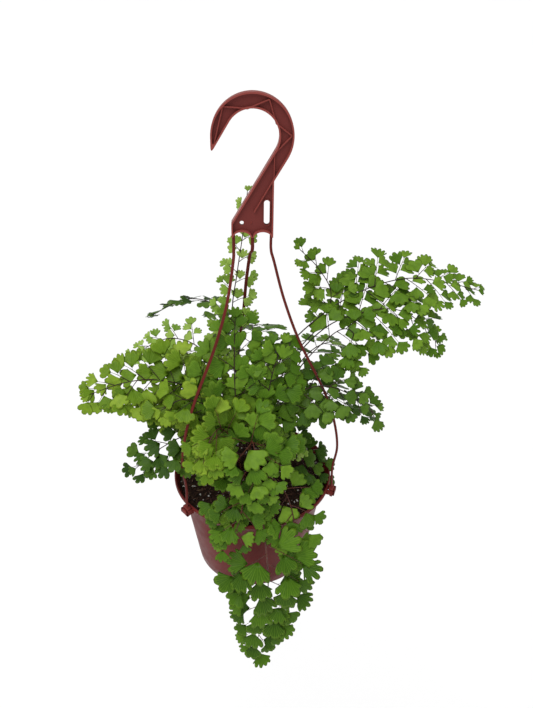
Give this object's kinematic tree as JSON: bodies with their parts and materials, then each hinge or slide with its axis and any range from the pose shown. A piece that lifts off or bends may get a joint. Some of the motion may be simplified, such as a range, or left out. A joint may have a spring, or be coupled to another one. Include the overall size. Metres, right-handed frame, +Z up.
{
  "type": "maidenhair fern in a hanging pot",
  "caption": "Maidenhair fern with lobed fan leaflets in a round tapered plastic pot, hung from a moulded hook hanger with thin legs.",
  "frame": {"origin": "inside top of the hook, where it bears on a rail; the pot's axis passes through it", "axes": "+Z up along the pot's axis, +X towards the right when the hook opens to the left, +Y to the back"},
  "size_m": [0.3626, 0.2454, 0.5091],
  "materials": {
    "pot_plastic": "satin moulded maroon plastic",
    "hanger_plastic": "satin moulded maroon plastic",
    "potting_soil": "rough coir and peat with perlite grains",
    "crown_fibre": "dark scaly rhizome",
    "leaf_bright": "soft leaf, satin",
    "leaf_mid": "soft leaf, satin",
    "leaf_dark": "soft leaf, satin",
    "leaf_pale": "young thin leaf, satin"
  },
  "bodies": {
    "root": {"crown": "crown_fibre", "frond_back": "leaf_mid", "frond_back_far_left": "leaf_dark", "frond_back_left": "leaf_dark", "frond_back_low": "leaf_mid", "frond_back_right": "leaf_mid", "frond_front_left": "leaf_bright", "frond_front_middle": "leaf_mid", "frond_front_right": "leaf_mid", "frond_front_short": "leaf_mid", "frond_front_upright": "leaf_mid", "frond_left": "leaf_bright", "frond_left_near": "leaf_bright", "frond_left_young": "leaf_pale", "frond_low_middle": "leaf_mid", "frond_lower_left": "leaf_dark", "frond_right": "leaf_dark", "frond_right_back": "leaf_dark", "frond_right_hanging": "leaf_mid", "frond_right_high": "leaf_mid", "frond_right_inner": "leaf_mid", "frond_right_low": "leaf_mid", "frond_right_low_dark": "leaf_dark", "frond_right_near": "leaf_mid", "frond_tall_young": "leaf_pale", "frond_trailing": "leaf_mid", "frond_young_middle": "leaf_pale", "hanger": "hanger_plastic", "pot": "pot_plastic", "soil": "potting_soil"}
  },
  "joints": []
}
